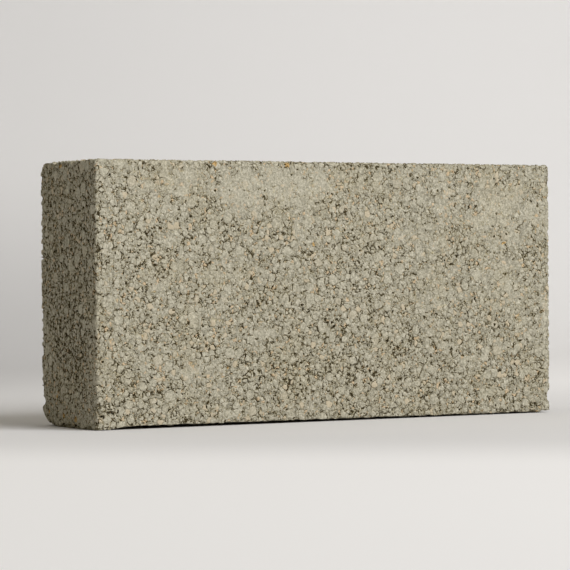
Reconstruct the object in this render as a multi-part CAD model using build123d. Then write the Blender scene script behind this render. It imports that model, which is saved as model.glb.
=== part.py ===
from build123d import *
import math
import os

# A solid concrete block, cast in one piece and standing on its long narrow face.
# Millimetres. The origin is the middle of the base, +X runs along the length,
# +Y through the thickness from the front face to the back, and +Z is up.

# The moulded body
block_length = 440
block_thickness = 100
block_height = 215

# The arrises, as the mould leaves them
upright_arris_radius = 2
top_arris_radius = 1.5
bottom_arris_radius = 2.5

# The front bottom arris is rubbed away, so that a gap shows under it. It is whole at the left corner,
# worn most a little way in, and wears less towards the right end.
wear_starts_at = 12
wear_deepest_at = 30
wear_first_lift = 0.3
wear_first_set_back = 0.5
wear_deepest_lift = 2.7
wear_deepest_set_back = 5
wear_right_lift = 1.3
wear_right_set_back = 2.8

# Corners that are knocked off, each as its reach along X, Y and Z
back_left_foot_break = (35, 30, 20)
front_right_foot_break = (6, 9, 5.5)
front_right_top_break = (2.2, 3.6, 7)

# Chips out of the upright arrises: the height of the middle, and the reach along X, Y and Z from there
back_left_chip_height = 20
back_left_chip = (3.4, 7, 4)
front_right_chip_height = 14
front_right_chip = (3.6, 6.2, 5)

# How far a cutting solid stands out past the block
cut_overrun = 1

left = -block_length / 2
right = block_length / 2
front = -block_thickness / 2
back = block_thickness / 2


def moulded_body():
    """The rectangular casting with its arrises rounded."""
    plan = RectangleRounded(block_length, block_thickness, upright_arris_radius)
    body = extrude(plan, block_height)
    body = fillet(body.faces().sort_by(Axis.Z)[-1].edges(), top_arris_radius)
    return fillet(body.faces().sort_by(Axis.Z)[0].edges(), bottom_arris_radius)


def wear_section(x, lift, set_back):
    """The triangle that is missing from the front bottom arris at one place along it."""
    slope = lift / set_back
    corners = [
        (front - cut_overrun, lift + cut_overrun * slope),
        (front - cut_overrun, -cut_overrun),
        (front + set_back + cut_overrun / slope, -cut_overrun),
    ]
    station = Plane(origin=(x, 0, 0), x_dir=(0, 1, 0), z_dir=(1, 0, 0))
    return station * make_face(Polyline(*corners, close=True))


def worn_arris():
    """The wear of the front bottom arris, from beside the left corner to past the right end."""
    sections = [
        wear_section(left + wear_starts_at, wear_first_lift, wear_first_set_back),
        wear_section(left + wear_deepest_at, wear_deepest_lift, wear_deepest_set_back),
        wear_section(right + cut_overrun, wear_right_lift, wear_right_set_back),
    ]
    return loft(sections, ruled=True)


def knocked_off_corner(corner, inward, reach):
    """What is gone from a corner that was knocked round. Inward holds a sign along each axis.

    What is left is part of an egg through the three points of the arrises that the reach names.
    Its radii are the root of two times the reach, so that it leaves no step on an arris.
    """
    middle = [at + sign * size for at, sign, size in zip(corner, inward, reach)]
    outer = [at - sign * cut_overrun for at, sign in zip(corner, inward)]
    extent = [abs(far - near) for far, near in zip(middle, outer)]
    centre = [(far + near) / 2 for far, near in zip(middle, outer)]
    lump = Pos(*centre) * Box(*extent)
    return lump - Pos(*middle) * scale(Sphere(math.sqrt(2)), by=reach)


def arris_chip(corner, reach):
    """A shell-shaped chip out of an upright arris, around one point of it."""
    return Pos(*corner) * scale(Sphere(1), by=reach)


def concrete_block():
    """The block with its wear, its knocked corners and its chips."""
    block = moulded_body() - worn_arris()
    block -= knocked_off_corner((left, back, 0), (1, -1, 1), back_left_foot_break)
    block -= knocked_off_corner((right, front, 0), (-1, 1, 1), front_right_foot_break)
    block -= knocked_off_corner((right, front, block_height), (-1, 1, -1), front_right_top_break)
    block -= arris_chip((left, back, back_left_chip_height), back_left_chip)
    block -= arris_chip((right, front, front_right_chip_height), front_right_chip)
    return block


os.makedirs("parts", exist_ok=True)
export_step(concrete_block(), "parts/concrete_block.step")
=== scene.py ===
import math

import bpy
import numpy as np
from mathutils import Matrix, Vector


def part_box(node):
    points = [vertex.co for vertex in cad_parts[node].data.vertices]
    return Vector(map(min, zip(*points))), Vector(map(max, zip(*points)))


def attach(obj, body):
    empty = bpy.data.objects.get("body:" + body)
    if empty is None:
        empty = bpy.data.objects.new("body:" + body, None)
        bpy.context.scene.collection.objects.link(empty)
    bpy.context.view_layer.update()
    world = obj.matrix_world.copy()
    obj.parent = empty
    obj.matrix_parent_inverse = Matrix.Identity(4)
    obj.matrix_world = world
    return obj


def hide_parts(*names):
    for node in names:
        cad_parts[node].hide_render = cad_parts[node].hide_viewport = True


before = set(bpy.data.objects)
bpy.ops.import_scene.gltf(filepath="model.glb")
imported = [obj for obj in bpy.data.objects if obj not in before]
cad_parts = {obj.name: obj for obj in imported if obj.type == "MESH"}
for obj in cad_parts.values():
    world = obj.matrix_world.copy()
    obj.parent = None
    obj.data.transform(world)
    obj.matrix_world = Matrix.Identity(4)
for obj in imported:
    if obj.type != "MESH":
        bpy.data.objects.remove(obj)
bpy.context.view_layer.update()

# A solid dense concrete block: a packing of stones and grit in cement, pressed flat against the mould.
# The frame is in metres. The packing, the wear and the chips are worked out in millimetres.

block_low, block_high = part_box("concrete_block")
block_size = (block_high - block_low) * 1000
block_middle = (block_high + block_low) * 500
left, front, base = block_low * 1000
right, back, top = block_high * 1000

# The net that the casting is cut from: its pitch, the triangles that are kept when it is thinned, and the
# angle in degrees past which an edge is shaded sharp
net_pitch = 0.72
kept_triangles = 195000
sharp_angle = 35

# How the net is pulled in to the concrete: towards a core this far inside, in so many steps, each of them a
# share of the way that is left. A point that is nearer than the least gap stays where it is, and joints
# finer than a hairline are left to the colours.
core_margin = 24
inward_steps = 11
step_share = 0.7
least_gap = 0.02
hairline = 0.12

# How deep the pits go
pit_depth = 3.2

# The crumbled arrises: their radius, how far from the edge they are ragged, how deep that goes at the front
# and at the back, and how much deeper within a reach of the left end's foot. The edges are the values of
# the cloud of crumbs at which a crumb ends and a bite is deepest.
arris_radius = 1.7
ragged_reach = 4.2
ragged_bite_front = 1.0
ragged_bite_back = 5.5
ragged_bite_foot = 2.6
foot_reach = 8
crumb_wavelength = 4.0
crumb_patch_wavelength = 13.0
crumb_patch_share = 0.3
crumb_edges = (0.46, 0.54)

# The struck top: how deep it is between the grains that stand proud, how wide they are, and the values of
# their cloud at which a grain ends and a dip is deepest
rough_top = 1.0
rough_top_wavelength = 3.6
rough_top_edges = (0.36, 0.46)

# The worn front bottom arris: how far from the left end it starts and is deepest, how far it lifts off the
# floor there and at the right end, how uneven that is, the slope of the hollow that goes on behind it, and
# how quickly a point under it counts as outside
wear_starts_at = 12
wear_deepest_at = 30
wear_first_lift = 0.3
wear_deepest_lift = 2.7
wear_right_lift = 1.3
wear_wavelength = 7.0
wear_unevenness = 3.6
wear_slope = 0.05
wear_steepness = 0.88

# Corners that are knocked off, with their inward signs and their reach along X, Y and Z
knocked_corners = [
    ((left, back, base), (1, -1, 1), (35, 30, 20)),
    ((right, front, base), (-1, 1, 1), (6, 9, 5.5)),
    ((right, front, top), (-1, 1, -1), (2.2, 3.6, 7)),
]

# Chips and cracks, with their reach
chips = [
    ((left, back, base + 20), (3.4, 7, 4)),
    ((right, front, base + 14), (3.6, 6.2, 5)),
    ((left, back, top), (3.6, 5, 9)),
    ((left + 12, front, base + 13.5), (5, 8, 1.8)),
    ((left + 4, front, base + 10.5), (3.5, 6, 1.5)),
]

# Where each face of the mould lies on the flat sheet: the axes that run along and up the sheet, and its
# near corner. The order is left end, front, bottom, right end, back, top.
sheet_size = 654
sheet_places = [
    (2, 1, 2, 444),
    (0, 2, 2, 2),
    (1, 0, 446, 2),
    (2, 1, 222, 444),
    (0, 2, 2, 222),
    (1, 0, 550, 2),
]

# The stones, coarse to fine, and the pinholes: how far apart they lie, their radius, and how far it spreads
# either way
coarse_stones = (11.0, 3.2, 1.8)
medium_stones = (4.9, 2.5, 0.8)
grit_grains = (2.1, 1.6, 0.4)
pinholes = (6.5, 0.45, 0.75)

# How stones are bent out of round
bend_wavelength = 4.5
bend_reach = 6.0

# How open the packing is, from 0 to 1: at the foot and at the top, with wide patches and small ones
foot_openness = 0.295
top_openness = 0.235
patch_wavelength = 40.0
patch_share = 0.22
spot_wavelength = 13.0
spot_share = 0.24

# Where it is opener than this, the cement no longer fills it to the face, and it falls back this fast
filled_to = 0.45
paste_fall = 8

# The joints, as half widths: how open the packing is where they widen, how fast, and how wide they may be
# before that
joints_widen_at = 0.48
joints_widen_by = 3
plain_joint = 0.22

# Joints and rims of each size of stone: how loose the packing is where they open, how fast they open with
# it, and how much wider than the widest joint of the grit they may be
medium_joints = (0.525, 2.8, 0.15)
grit_joints = (0.785, 1.9, 0)
coarse_rims = (0.49, 4, 0.4)
medium_rims = (0.51, 4, 0.2)

# How far the cement round a stone lies under its top
coarse_rim_paste = 0.6
medium_rim_paste = 0.4

# Patches that are more open or more closed than the rest: their place, their reach and the change
open_patches = [
    ((-45, front, 42), (62, 8, 20), 0.045),
    ((63, front, 66), (16, 8, 16), 0.05),
    ((-196, front, 188), (14, 8, 9), 0.05),
    ((-24, front, 141), (9, 8, 8), 0.04),
    ((-122, front, 40), (24, 8, 16), -0.07),
    ((-72, front, 68), (9, 8, 18), -0.07),
    ((-75, front, 196), (115, 8, 15), -0.06),
    ((160, front, 120), (95, 8, 120), -0.035),
    ((left, 0, 140), (8, 70, 140), 0.15),
    ((left + 8, front, 6), (15, 10, 12), 0.12),
    ((0, front, top), (230, 5, 5), 0.06),
    ((0, 0, top), (230, 60, 5), 0.05),
]

# Colours of the cement and the stones, the painted shade that darkens the hollows, and tints that the
# cement's colour is multiplied by, among them the painted warm shade beside the joints and hollows
cement = (0.492, 0.460, 0.358)
pale_grit = (0.74, 0.55, 0.34)
warm_stone = (0.64, 0.54, 0.38)
tan = (0.60, 0.40, 0.17)
cream = (0.62, 0.52, 0.37)
painted_hollow_shade = (0.040, 0.028, 0.009)
stained = (0.93, 0.88, 0.76)
bright = (1, 1.01, 1.06)
# Painted warm shade for the cement beside the joints and hollows
painted_warm_shade = (1, 0.95, 0.80)

# How much each thing lightens or darkens the cement's colour. A stone of the even tone does neither.
even_stone_tone = 0.64
medium_stone_shade = 0.165
coarse_stone_shade = -0.05
streak_shade = 0.2
streak_shade_on_end = 0.3
grit_shade = 0.34
patch_shade = 0.05
# Painted light and shade along the block: the left end is painted lighter and the right end darker, as the
# light falls
painted_light_at_left, painted_shade_at_right = 0.03, -0.05
grain_shade = 2.5

# Stones that lie open: their place, their size across, and their colour
bare_stones = [
    ((-112, front, 212), 4, tan),
    ((-44, front, 212), 5, tan),
    ((172, front, 147), 4, tan),
    ((-19, front, 147), 3, tan),
    ((-102, front, 46), 3, tan),
    ((-204, front, 130), 3, tan),
    ((195, front, 30), 6, cream),
    ((214, front, 28), 5, cream),
    ((left, 12, 211), 5, tan),
    ((left, 22, 24), 4, tan),
    ((left, 9, 9), 5, tan),
    ((left, -12, 7), 6, tan),
    ((left, 36, 12), 4, tan),
]


class Reading:
    """A number at every point of the concrete, held as a socket. Sums on it add nodes to its tree."""

    def __init__(self, socket):
        self.socket = socket

    def math(self, operation, *others):
        node = self.socket.node.id_data.nodes.new("ShaderNodeMath")
        node.operation = operation
        for slot, value in zip(node.inputs, (self, *others)):
            feed(slot, value)
        return Reading(node.outputs[0])

    def __add__(self, other):
        return self.math("ADD", other)

    def __sub__(self, other):
        return self.math("SUBTRACT", other)

    def __mul__(self, other):
        return self.math("MULTIPLY", other)

    def __neg__(self):
        return self.math("MULTIPLY", -1)

    def at_least(self, other):
        return self.math("MAXIMUM", other)

    def at_most(self, other):
        return self.math("MINIMUM", other)

    def ramp(self, start, end, low=0.0, high=1.0, shape="SMOOTHSTEP"):
        """From low at start to high at end, and level beyond both."""
        node = self.socket.node.id_data.nodes.new("ShaderNodeMapRange")
        node.interpolation_type = shape
        for slot, value in zip(node.inputs, (self, start, end, low, high)):
            feed(slot, value)
        return Reading(node.outputs["Result"])


def feed(slot, value):
    """Puts a reading, a socket or a plain value into a node's slot."""
    if isinstance(value, Reading):
        value = value.socket
    if isinstance(value, bpy.types.NodeSocket):
        slot.id_data.links.new(value, slot)
    else:
        slot.default_value = value


def vector_math(operation, first, second=None, amount=None):
    """A Vector Math node on the first socket. Returns its vector, or its number where it gives one."""
    node = first.node.id_data.nodes.new("ShaderNodeVectorMath")
    node.operation = operation
    feed(node.inputs[0], first)
    if second is not None:
        feed(node.inputs[1], second)
    if amount is not None:
        feed(node.inputs["Scale"], amount)
    return node.outputs["Value" if operation == "LENGTH" else "Vector"]


def parts_of(vector):
    """The three numbers of a vector or a colour."""
    node = vector.node.id_data.nodes.new("ShaderNodeSeparateXYZ")
    feed(node.inputs[0], vector)
    return [Reading(socket) for socket in node.outputs]


def noise(place, wavelength, detail=2.0, stretch=None, roughness=0.5):
    """Cloudy noise of a wavelength in millimetres: its node, with Fac and Color between 0 and 1."""
    if stretch is not None:
        place = vector_math("MULTIPLY", place, stretch)
    node = place.node.id_data.nodes.new("ShaderNodeTexNoise")
    feed(node.inputs["Vector"], place)
    node.inputs["Scale"].default_value = 1 / wavelength
    node.inputs["Detail"].default_value = detail
    node.inputs["Roughness"].default_value = roughness
    return node


def cloud(place, wavelength, detail=2.0, stretch=None, roughness=0.5):
    """Cloudy noise as a reading."""
    return Reading(noise(place, wavelength, detail, stretch, roughness).outputs[0])


def new_group(kind, name, inputs, outputs):
    """A node group with named sockets, and its two ends."""
    tree = bpy.data.node_groups.new(name, kind)
    for label, socket in inputs:
        tree.interface.new_socket(label, in_out="INPUT", socket_type=socket)
    for label, socket in outputs:
        tree.interface.new_socket(label, in_out="OUTPUT", socket_type=socket)
    return tree, tree.nodes.new("NodeGroupInput"), tree.nodes.new("NodeGroupOutput")


def place_group(tree, group):
    """Puts a node group into a tree of its own kind."""
    kinds = {"GeometryNodeTree": "GeometryNodeGroup", "ShaderNodeTree": "ShaderNodeGroup"}
    node = tree.nodes.new(kinds[tree.bl_idname])
    node.node_tree = group
    return node


def bent_place(place):
    """The place, bent to and fro, so that what is laid out by it is not round or straight."""
    bend = noise(place, bend_wavelength, 3.0).outputs["Color"]
    bend = vector_math("SUBTRACT", bend, (0.5, 0.5, 0.5))
    return vector_math("ADD", place, vector_math("SCALE", bend, amount=bend_reach))


def stones(place, pitch, radius, spread, joint=None):
    """One size of stone, scattered at a pitch and parted by joints of a half width.

    Returns how deep a point is inside its nearest stone, and two random numbers of that stone.
    """
    nodes = place.node.id_data.nodes
    nearest = nodes.new("ShaderNodeTexVoronoi")
    feed(nearest.inputs["Vector"], place)
    nearest.inputs["Scale"].default_value = 1 / pitch
    size_chance, tone, tint = parts_of(nearest.outputs["Color"])
    own_radius = size_chance * (2 * spread) + (radius - spread)
    cover = own_radius - Reading(nearest.outputs["Distance"]) * pitch
    if joint is not None:
        seam = nodes.new("ShaderNodeTexVoronoi")
        seam.feature = "DISTANCE_TO_EDGE"
        feed(seam.inputs["Vector"], place)
        seam.inputs["Scale"].default_value = 1 / pitch
        cover = cover.at_most(Reading(seam.outputs["Distance"]) * pitch - joint)
    return cover, tone, tint


def joint_width(looseness, opens_at, growth, widest):
    """The half width of a joint or the width of a rim, below zero where the packing is too tight for one."""
    return ((looseness - opens_at) * growth).at_most(widest)


def packing_group(kind, name):
    """The packing of stones, grit and cement.

    Cover is how deep a point is in something solid, in millimetres, and below zero in a hollow.
    Bare is the same without the paste, so that its joints show faintly where paste closes them.
    Paste is how far the cement fills the joints, and Coarse and Medium are 1 on stones of that size.
    Each Tone and Tint is a random number of the stone or the grain that a point is on.
    """
    labels = ("Cover", "Bare", "Paste", "Coarse", "Medium", "Tone", "Tint", "Grit Tone", "Grit Tint")
    tree, start, end = new_group(
        kind,
        name,
        [("Place", "NodeSocketVector")],
        [(label, "NodeSocketFloat") for label in labels],
    )
    place = start.outputs["Place"]
    bent = bent_place(place)

    height = parts_of(place)[2]
    openness = cloud(place, patch_wavelength, 1.0) * patch_share
    openness = openness + cloud(place, spot_wavelength, 1.0) * spot_share
    openness = openness + height.ramp(0, top, foot_openness, top_openness)
    for middle, reach, change in open_patches:
        share = [1 / size for size in reach]
        away = vector_math("MULTIPLY", vector_math("SUBTRACT", place, middle), share)
        openness = openness + Reading(vector_math("LENGTH", away)).ramp(0.5, 1.2, change, 0)
    looseness = cloud(place, 4.0, 1.0) + openness * 0.5 - 0.25
    grit_looseness = cloud(place, 2.4, 1.0) + openness * 0.5
    widest = (openness - joints_widen_at).at_least(0) * joints_widen_by + plain_joint
    medium_joint, grit_joint, coarse_gap, medium_gap = (
        joint_width(loose, opens_at, growth, widest + wider)
        for loose, (opens_at, growth, wider) in (
            (looseness, medium_joints),
            (grit_looseness, grit_joints),
            (looseness, coarse_rims),
            (looseness, medium_rims),
        )
    )

    coarse, coarse_tone, coarse_tint = stones(bent, *coarse_stones)
    medium, medium_tone, medium_tint = stones(bent, *medium_stones, medium_joint)
    grit, grit_tone, grit_tint = stones(bent, *grit_grains, grit_joint)
    pinhole = stones(bent, *pinholes)[0]
    paste = (openness - filled_to) * -paste_fall

    coarse_rim = (-coarse - coarse_gap).at_least(paste - coarse_rim_paste)
    medium_rim = (-medium - medium_gap).at_least(paste - medium_rim_paste)
    bare, cover = (
        filling.at_most(medium_rim).at_least(medium).at_most(coarse_rim).at_least(coarse)
        for filling in (grit, grit.at_least(paste))
    )
    cover = cover.at_most(-pinhole)

    is_coarse = coarse.ramp(-0.05, 0.05)
    is_medium = medium.ramp(-0.05, 0.05) * (-is_coarse + 1)
    tone = coarse_tone * is_coarse + medium_tone * is_medium
    tint = coarse_tint * is_coarse + medium_tint * is_medium
    readings = (cover, bare, paste, is_coarse, is_medium, tone, tint, grit_tone, grit_tint)
    for label, reading in zip(labels, readings):
        feed(end.inputs[label], reading)
    return tree


def bitten_corner(place, corner, inward, reach):
    """How far a point is outside what is left of a corner that was knocked round."""
    middle = [at + sign * size for at, sign, size in zip(corner, inward, reach)]
    share = [-sign / size for sign, size in zip(inward, reach)]
    towards = vector_math("MULTIPLY", vector_math("SUBTRACT", place, middle), share)
    towards = vector_math("MAXIMUM", towards, (0, 0, 0))
    return (Reading(vector_math("LENGTH", towards)) - math.sqrt(2)) * (min(reach) * 0.8)


def chip(place, centre, reach):
    """How far a point is inside a shell-shaped chip."""
    share = [1 / size for size in reach]
    offset = vector_math("MULTIPLY", vector_math("SUBTRACT", place, centre), share)
    return (-Reading(vector_math("LENGTH", offset)) + 1) * min(reach)


def casting_group():
    """The moulded shape with its wear. Outside is how far a point lies outside it, in millimetres."""
    tree, start, end = new_group(
        "GeometryNodeTree",
        "moulded casting",
        [("Place", "NodeSocketVector")],
        [("Outside", "NodeSocketFloat")],
    )
    place = start.outputs["Place"]
    half = block_size / 2
    from_middle = vector_math("ABSOLUTE", vector_math("SUBTRACT", place, block_middle))
    past_core = vector_math("SUBTRACT", from_middle, half - Vector([arris_radius] * 3))
    round_part = Reading(vector_math("LENGTH", vector_math("MAXIMUM", past_core, (0, 0, 0))))
    past_x, past_y, past_z = parts_of(past_core)
    flat_part = past_x.at_least(past_y).at_least(past_z).at_most(0)
    outside = round_part + flat_part - arris_radius

    x, y, z = parts_of(place)
    lift_in = x.ramp(left + wear_starts_at, left + wear_deepest_at, wear_first_lift, wear_deepest_lift)
    lift_out = x.ramp(left + wear_deepest_at, right, wear_deepest_lift, wear_right_lift, "LINEAR")
    lift = lift_in.at_most(lift_out) + (cloud(place, wear_wavelength, 3.0) - 0.45) * wear_unevenness
    outside = outside.at_least((lift - z - (y - front) * wear_slope) * wear_steepness)
    for corner, inward, reach in knocked_corners:
        outside = outside.at_least(bitten_corner(place, corner, inward, reach))
    for centre, reach in chips:
        outside = outside.at_least(chip(place, centre, reach))

    near_x, near_y, near_z = parts_of(
        vector_math("ADD", vector_math("SCALE", from_middle, amount=-1), half)
    )
    from_arris = near_x.at_most(near_y).at_least(near_x.at_least(near_y).at_most(near_z))
    on_end = x.ramp(left + foot_reach, left + 2)
    bite = y.ramp(front, back, ragged_bite_front, ragged_bite_back, "LINEAR")
    bite = bite + z.ramp(base + foot_reach, base + 2) * on_end * ragged_bite_foot
    crumbs = cloud(place, crumb_wavelength, 2.0) * (1 - crumb_patch_share)
    crumbs = crumbs + cloud(place, crumb_patch_wavelength, 1.0) * crumb_patch_share
    ragged = from_arris.ramp(0, ragged_reach, 1, 0) * crumbs.ramp(*crumb_edges) * bite
    dips = cloud(place, rough_top_wavelength, 2.0).ramp(*rough_top_edges)
    struck = z.ramp(top - 3, top) * dips * rough_top
    feed(end.inputs["Outside"], outside + ragged.at_least(struck))
    return tree


def gap_here(tree, casting, packing):
    """How far the concrete still is from a point of the net, in millimetres, and zero or less inside it."""
    position = tree.nodes.new("GeometryNodeInputPosition").outputs[0]
    place = vector_math("SCALE", position, amount=1000)
    shape = place_group(tree, casting)
    mix = place_group(tree, packing)
    feed(shape.inputs["Place"], place)
    feed(mix.inputs["Place"], place)
    depth = -Reading(shape.outputs["Outside"])
    cover = Reading(mix.outputs["Cover"]) + hairline
    return -cover.at_least(depth - pit_depth).at_most(depth)


def kept_value(tree, name, kind):
    """A value that was kept on the points under a name."""
    node = tree.nodes.new("GeometryNodeInputNamedAttribute")
    node.data_type = kind
    node.inputs["Name"].default_value = name
    return node.outputs[0]


def inward_step(casting, packing):
    """One step of the open part of the net towards the concrete, as a node group on the geometry."""
    tree, start, end = new_group(
        "GeometryNodeTree",
        "one step inward",
        [("Geometry", "NodeSocketGeometry")],
        [("Geometry", "NodeSocketGeometry")],
    )
    travel = gap_here(tree, casting, packing).at_least(0) * (step_share / 1000)
    move = tree.nodes.new("GeometryNodeSetPosition")
    feed(move.inputs["Geometry"], start.outputs["Geometry"])
    feed(move.inputs["Selection"], kept_value(tree, "open", "BOOLEAN"))
    inward = kept_value(tree, "inward", "FLOAT_VECTOR")
    feed(move.inputs["Offset"], vector_math("SCALE", inward, amount=travel))
    feed(end.inputs["Geometry"], move.outputs["Geometry"])
    return tree


def named_store(tree, geometry, name, kind, value):
    """Keeps a value on the points under a name."""
    node = tree.nodes.new("GeometryNodeStoreNamedAttribute")
    node.data_type = kind
    node.inputs["Name"].default_value = name
    feed(node.inputs["Geometry"], geometry)
    feed(node.inputs["Value"], value)
    return node.outputs["Geometry"]


def net_group(packing):
    """A fine net round the mould, pulled in until it lies on the concrete."""
    tree, start, end = new_group(
        "GeometryNodeTree", "cast concrete", [], [("Geometry", "NodeSocketGeometry")]
    )
    casting = casting_group()
    cube = tree.nodes.new("GeometryNodeMeshCube")
    cube.inputs["Size"].default_value = block_size / 1000
    for axis, label in enumerate("XYZ"):
        cube.inputs["Vertices " + label].default_value = round(block_size[axis] / net_pitch) + 1
    lifted = tree.nodes.new("GeometryNodeTransform")
    feed(lifted.inputs["Geometry"], cube.outputs["Mesh"])
    lifted.inputs["Translation"].default_value = block_middle / 1000

    position = tree.nodes.new("GeometryNodeInputPosition").outputs[0]
    margin = Vector([core_margin] * 3)
    core_low = (block_middle - block_size / 2 + margin) / 1000
    core_high = (block_middle + block_size / 2 - margin) / 1000
    core = vector_math("MINIMUM", vector_math("MAXIMUM", position, core_low), core_high)
    inward = vector_math("NORMALIZE", vector_math("SUBTRACT", core, position))
    geometry = named_store(tree, lifted.outputs[0], "inward", "FLOAT_VECTOR", inward)

    is_open = gap_here(tree, casting, packing).math("GREATER_THAN", least_gap)
    geometry = named_store(tree, geometry, "open", "BOOLEAN", is_open)
    step = inward_step(casting, packing)
    for _ in range(inward_steps):
        node = place_group(tree, step)
        feed(node.inputs["Geometry"], geometry)
        geometry = node.outputs["Geometry"]

    shape = place_group(tree, casting)
    feed(shape.inputs["Place"], vector_math("SCALE", position, amount=1000))
    hollow = -Reading(shape.outputs["Outside"])
    geometry = named_store(tree, geometry, "hollow", "FLOAT", hollow)
    feed(end.inputs["Geometry"], geometry)
    return tree


def settled_mesh(thing):
    """The mesh that an object's modifiers make."""
    graph = bpy.context.evaluated_depsgraph_get()
    mesh = bpy.data.meshes.new_from_object(
        thing.evaluated_get(graph), preserve_all_data_layers=True, depsgraph=graph
    )
    mesh.name = "block"
    return mesh


def keep_in_mould(mesh):
    """Brings back what the thinning pushed out of the mould."""
    spots = np.empty(len(mesh.vertices) * 3)
    mesh.vertices.foreach_get("co", spots)
    spots = np.clip(spots.reshape(-1, 3), np.array(block_low), np.array(block_high))
    mesh.vertices.foreach_set("co", spots.ravel())
    mesh.update()


def lay_out_faces(mesh):
    """Lays the six faces of the mould out flat, side by side, on the sheet that keeps their colours."""
    spots = np.empty(len(mesh.vertices) * 3)
    mesh.vertices.foreach_get("co", spots)
    spots = spots.reshape(-1, 3) * 1000
    middles = np.empty(len(mesh.polygons) * 3)
    mesh.polygons.foreach_get("center", middles)
    middles = middles.reshape(-1, 3) * 1000
    low, high = np.array([left, front, base]), np.array([right, back, top])
    depths = np.concatenate([middles - low, high - middles], axis=1)
    nearest = depths.argmin(axis=1)

    counts = np.empty(len(mesh.polygons), int)
    mesh.polygons.foreach_get("loop_total", counts)
    nearest = np.repeat(nearest, counts)
    corners = np.empty(len(mesh.loops), int)
    mesh.loops.foreach_get("vertex_index", corners)
    places = spots[corners] - low
    flat = np.zeros((len(corners), 2))
    for number, (along, upward, start_along, start_up) in enumerate(sheet_places):
        chosen = nearest == number
        flat[chosen, 0] = places[chosen, along] + start_along
        flat[chosen, 1] = places[chosen, upward] + start_up
    mesh.uv_layers.new(name="OFBake").data.foreach_set("uv", (flat / sheet_size).ravel())


def cast_block():
    """The block's mesh: the net on the concrete, thinned where the faces are flat."""
    mesh = bpy.data.meshes.new("net")
    net = bpy.data.objects.new("net", mesh)
    bpy.context.scene.collection.objects.link(net)
    packing = packing_group("GeometryNodeTree", "packed stones for the net")
    net.modifiers.new("cast", "NODES").node_group = net_group(packing)
    block = bpy.data.objects.new("block", settled_mesh(net))
    bpy.context.scene.collection.objects.link(block)
    bpy.data.objects.remove(net)
    thin = block.modifiers.new("thin", "DECIMATE")
    thin.use_collapse_triangulate = True
    thin.ratio = kept_triangles / (2 * len(block.data.polygons))
    thinned = settled_mesh(block)
    block.modifiers.clear()
    block.data = thinned
    keep_in_mould(block.data)
    lay_out_faces(block.data)
    return block


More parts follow.
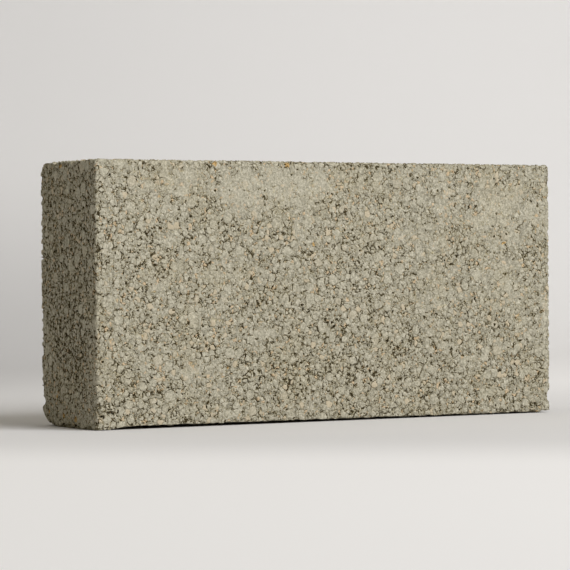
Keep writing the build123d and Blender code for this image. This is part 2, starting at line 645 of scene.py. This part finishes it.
def concrete_material():
    """Grey cement round stones and grit, with painted warm shade beside its joints and painted shade in its
    hollows.
    """
    material = bpy.data.materials.new("concrete")
    material.use_nodes = True
    tree = material.node_tree
    shader = tree.nodes["Principled BSDF"]
    shader.inputs["Roughness"].default_value = 0.95
    shader.inputs["Specular IOR Level"].default_value = 0.08
    place = vector_math("SCALE", tree.nodes.new("ShaderNodeTexCoord").outputs["Object"], amount=1000)
    mix = place_group(tree, packing_group("ShaderNodeTree", "packed stones for the colours"))
    feed(mix.inputs["Place"], place)
    kept = tree.nodes.new("ShaderNodeAttribute")
    kept.attribute_name = "hollow"
    hollow = Reading(kept.outputs["Fac"])

    tone = Reading(mix.outputs["Tone"])
    tint = Reading(mix.outputs["Tint"])
    grit_tone = Reading(mix.outputs["Grit Tone"])
    grit_tint = Reading(mix.outputs["Grit Tint"])
    uncovered = -Reading(mix.outputs["Cover"])
    bare = Reading(mix.outputs["Bare"])
    coarse = Reading(mix.outputs["Coarse"])
    medium = Reading(mix.outputs["Medium"])
    paste = Reading(mix.outputs["Paste"]).ramp(0.0, 0.6)
    stone_shows = paste * -0.7 + 1
    bent = bent_place(place)
    stone = (coarse + medium) * stone_shows
    grit = -(coarse + medium) + 1
    grit_shows = paste * -0.5 + 1

    # The shade changes from stone to stone, in upright streaks and from grain to grain, and along the block
    # it is painted light at the left end and painted shade towards the right
    across = parts_of(place)[0]
    on_end = across.ramp(left + 3, left + 1)
    streaks = cloud(place, 2.6, 2.0, (1, 1, 0.1)) - 0.5
    shade = (tone - even_stone_tone) * stone * (coarse * coarse_stone_shade + medium_stone_shade)
    shade = shade + streaks * (on_end * streak_shade_on_end + streak_shade)
    shade = shade + (grit_tone - 0.5) * grit * grit_shows * grit_shade
    shade = shade + (cloud(place, 50.0, 2.0) - 0.5) * patch_shade
    # Painted light at the left end and painted shade towards the right
    shade = shade + across.ramp(left, right, painted_light_at_left, painted_shade_at_right, "LINEAR")
    shade = shade + (cloud(place, 1.9, 3.0, roughness=0.9) - 0.5) * grain_shade + 1
    colour = vector_math("SCALE", constant(tree, cement), amount=shade)

    # Faint stains, pale grains, warm stones and the stones that lie open
    stain = cloud(place, 30.0, 3.0).ramp(0.48, 0.66) + cloud(place, 5.0, 1.0).ramp(0.55, 0.70) * 0.5
    colour = blend_colour(colour, vector_math("MULTIPLY", colour, stained), stain * 0.25)
    pale = grit_tint.ramp(0.90, 0.92) * grit * grit_shows
    colour = blend_colour(colour, pale_grit, pale * 0.7)
    warm = tint.ramp(0.91, 0.94) * stone * (coarse * -0.7 + 1)
    colour = blend_colour(colour, warm_stone, warm * 0.7)
    for middle, size, own_colour in bare_stones:
        away = Reading(vector_math("LENGTH", vector_math("SUBTRACT", bent, middle)))
        colour = blend_colour(colour, own_colour, away.ramp(size * 0.5, size * 0.35))

    # The lighter parts are a little cooler. Painted warm shade browns what lies beside a joint, and painted
    # shade darkens the hollows
    colour = blend_colour(colour, vector_math("MULTIPLY", colour, bright), shade.ramp(1.0, 1.25))
    # Painted warm shade near the hollows and the open joints
    painted_warm_shade_share = hollow.ramp(0.1, 0.9).at_least(uncovered.ramp(-0.25, 0.0))
    colour = blend_colour(colour, vector_math("MULTIPLY", colour, painted_warm_shade), painted_warm_shade_share)
    filled_joint = bare.ramp(0.02, -0.12) * 0.09
    # Painted shade: the deeper the hollow or the more open the joint, the nearer to black the colour
    painted_shade_share = hollow.ramp(0.7, 1.9).at_least(uncovered.ramp(-0.04, 0.08).at_least(filled_joint))
    colour = blend_colour(colour, painted_hollow_shade, painted_shade_share * 0.95)
    feed(shader.inputs["Base Color"], colour)

    relief = bare.ramp(-0.3, 0.7) * stone_shows + cloud(place, 0.9, 2.0) * 0.35
    bump = tree.nodes.new("ShaderNodeBump")
    bump.inputs["Distance"].default_value = 0.0009
    bump.inputs["Strength"].default_value = 0.8
    feed(bump.inputs["Height"], relief)
    feed(shader.inputs["Normal"], bump.outputs[0])
    return material


def constant(tree, colour):
    """A fixed colour as a vector socket."""
    node = tree.nodes.new("ShaderNodeCombineXYZ")
    for slot, value in zip(node.inputs, colour):
        slot.default_value = value
    return node.outputs[0]


def blend_colour(under, over, share):
    """Lays a colour over another by a share."""
    node = share.socket.node.id_data.nodes.new("ShaderNodeMix")
    node.data_type = "RGBA"
    feed(node.inputs[0], share)
    feed(node.inputs[6], under)
    feed(node.inputs[7], (*over, 1) if isinstance(over, tuple) else over)
    return node.outputs[2]


def sweep(width, near, far, radius, height, turn_steps=15):
    """A paper sweep: a floor that turns up into a wall."""
    angles = [math.radians(90 * step / turn_steps) for step in range(turn_steps + 1)]
    turn = [(far + radius * math.sin(angle), radius * (1 - math.cos(angle))) for angle in angles]
    profile = [(near, 0), *turn, (far + radius, height)]
    vertices = [(side * width / 2, y, z) for y, z in profile for side in (-1, 1)]
    faces = [(i, i + 1, i + 3, i + 2) for i in range(0, len(vertices) - 2, 2)]
    mesh = bpy.data.meshes.new("paper_sweep")
    mesh.from_pydata(vertices, [], faces)
    mesh.polygons.foreach_set("use_smooth", [True] * len(mesh.polygons))
    paper = bpy.data.objects.new("paper_sweep", mesh)
    bpy.context.scene.collection.objects.link(paper)
    return paper


def paper_material():
    """White paper with painted light and shade: painted brighter in front, and painted darkest low on the
    wall at the left.

    Depth runs away from the viewer over the floor and side runs to the right, both in metres.
    """
    material = bpy.data.materials.new("paper")
    material.use_nodes = True
    tree = material.node_tree
    shader = tree.nodes["Principled BSDF"]
    shader.inputs["Roughness"].default_value = 1
    shader.inputs["Specular IOR Level"].default_value = 0
    across, away, up = parts_of(tree.nodes.new("ShaderNodeTexCoord").outputs["Object"])
    depth = across * 0.6 + away * 0.8
    side = across * 0.8 - away * 0.6
    # Painted light and shade on the paper: lighter near the front, darker further back and low on the wall
    # at the left
    near = depth.ramp(-0.55, -0.26, 0.91, 0.75)
    painted_shade_low_at_left = up.ramp(0.02, 0.3, 0.17, 0) * side.ramp(-0.5, 0.0, 1, 0)
    far = side.ramp(-0.6, 0.2, 0.78, 0.94, "LINEAR") - painted_shade_low_at_left
    shade = near + depth.ramp(0.1, 0.8) * (far - near)
    feed(shader.inputs["Base Color"], vector_math("SCALE", constant(tree, (1, 0.99, 1)), amount=shade))
    return material


def softbox(name, place, aim, size, power, colour):
    """A square soft light that points at a place."""
    lamp = bpy.data.lights.new(name, "AREA")
    lamp.shape = "SQUARE"
    lamp.size = size
    lamp.energy = power
    lamp.color = colour
    light = bpy.data.objects.new(name, lamp)
    light.location = place
    light.rotation_euler = (Vector(aim) - Vector(place)).to_track_quat("-Z", "Y").to_euler()
    bpy.context.scene.collection.objects.link(light)


def studio_world():
    """A dim warm fill on the object. Past the paper's edge the camera sees a pale grey instead of it."""
    world = bpy.data.worlds.new("studio")
    world.use_nodes = True
    tree = world.node_tree
    fill = tree.nodes["Background"]
    fill.inputs["Color"].default_value = (1, 0.86, 0.38, 1)
    fill.inputs["Strength"].default_value = 0.06
    pale = tree.nodes.new("ShaderNodeBackground")
    pale.inputs["Color"].default_value = (0.66, 0.65, 0.635, 1)
    both = tree.nodes.new("ShaderNodeMixShader")
    feed(both.inputs[0], tree.nodes.new("ShaderNodeLightPath").outputs["Is Camera Ray"])
    feed(both.inputs[1], fill.outputs[0])
    feed(both.inputs[2], pale.outputs[0])
    feed(tree.nodes["World Output"].inputs["Surface"], both.outputs[0])
    return world


def camera(place, azimuth, tilt, roll, focal_pixels, picture_pixels):
    """The camera that was fitted to the block's corners in the photograph. Its angles are in degrees."""
    azimuth, tilt, roll = (math.radians(angle) for angle in (azimuth, tilt, roll))
    backward = Vector(
        (math.sin(azimuth) * math.cos(tilt), -math.cos(azimuth) * math.cos(tilt), math.sin(tilt))
    )
    level_right = Vector((0, 0, 1)).cross(backward).normalized()
    level_up = backward.cross(level_right)
    across = level_right * math.cos(roll) + level_up * math.sin(roll)
    upward = level_up * math.cos(roll) - level_right * math.sin(roll)
    turn = Matrix((across, upward, backward)).transposed().to_4x4()
    data = bpy.data.cameras.new("camera")
    data.sensor_width = 36
    data.lens = focal_pixels / picture_pixels * data.sensor_width
    data.clip_end = 50
    eye = bpy.data.objects.new("camera", data)
    eye.matrix_world = Matrix.Translation(place) @ turn
    bpy.context.scene.collection.objects.link(eye)
    bpy.context.scene.camera = eye


camera(
    place=(-1.20493, -2.01098, 0.12990),
    azimuth=-30.5646,
    tilt=0.4183,
    roll=-0.4386,
    focal_pixels=2778.36,
    picture_pixels=570,
)
block = cast_block()
block.data.materials.clear()
block.data.materials.append(concrete_material())
block.data.polygons.foreach_set("use_smooth", [True] * len(block.data.polygons))
block.data.set_sharp_from_angle(angle=math.radians(sharp_angle))
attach(block, "root")
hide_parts("concrete_block")

paper = sweep(width=4.6, near=-2.6, far=1.2, radius=0.6, height=2.4)
paper.data.materials.append(paper_material())

softbox("key_light", (1.5, -3.0, 2.7), aim=(0, 0, 0.1), size=3.0, power=172, colour=(1, 1, 1))
softbox("top_light", (-0.2, 0.2, 2.4), aim=(0, 0.2, 0), size=2.2, power=13, colour=(1, 0.95, 0.86))
bpy.context.scene.world = studio_world()

bpy.context.scene.view_settings.view_transform = "Standard"
